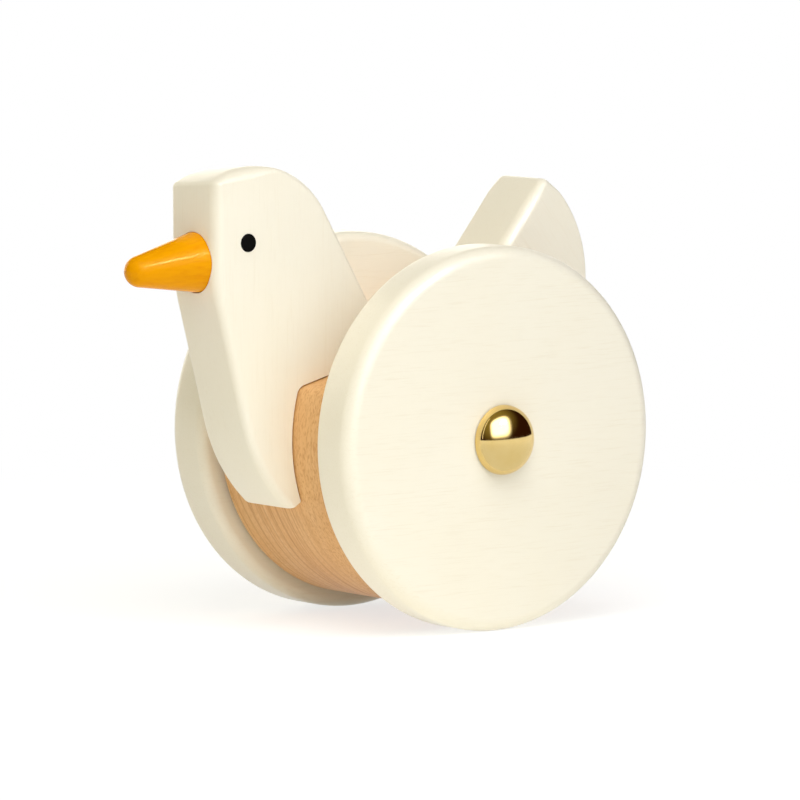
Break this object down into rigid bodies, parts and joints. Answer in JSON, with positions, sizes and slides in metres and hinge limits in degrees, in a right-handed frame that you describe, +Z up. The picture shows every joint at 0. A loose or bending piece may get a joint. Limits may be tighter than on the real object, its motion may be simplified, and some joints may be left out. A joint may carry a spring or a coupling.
{
  "type": "wheeled toy bird",
  "caption": "Rolling wooden toy bird: a beech drum body hung on an axle between painted disc wheels, with painted head and tail planks and a turned beak.",
  "frame": {"origin": "on the floor, under the middle of the toy's box", "axes": "+X forwards, towards the beak; +Y towards the bird's left wheel; +Z up"},
  "size_m": [0.1274, 0.0818, 0.1094],
  "materials": {
    "cream_paint": "satin cream paint on wood, grain just showing",
    "beech": "oiled beech with fine lines and flecks",
    "orange_paint": "glossy orange paint on wood",
    "black_paint": "satin black paint on wood",
    "brass": "polished",
    "steel": "bright drawn steel"
  },
  "bodies": {
    "bird": {"body_drum": "beech", "head_neck": "cream_paint", "tail": "cream_paint", "beak": "orange_paint", "left_eye": "black_paint", "right_eye": "black_paint", "neck_dowel_front": "beech", "neck_dowel_rear": "beech", "tail_dowel": "beech", "weight": "steel", "weight_plug": "beech", "axle": "steel", "left_axle_cap": "brass", "right_axle_cap": "brass", "left_push_nut": "steel", "right_push_nut": "steel", "left_washer": "steel", "right_washer": "steel"},
    "left_wheel": {"left_wheel": "cream_paint"},
    "right_wheel": {"right_wheel": "cream_paint"}
  },
  "joints": [
    {"name": "left_wheel_spin", "type": "hinge", "parent": "bird", "child": "left_wheel", "pos_m": [-0.01742, 0.0287, 0.045], "axis": [0, 1, 0], "continuous": true},
    {"name": "right_wheel_spin", "type": "hinge", "parent": "bird", "child": "right_wheel", "pos_m": [-0.01742, -0.0287, 0.045], "axis": [0, 1, 0], "continuous": true}
  ]
}
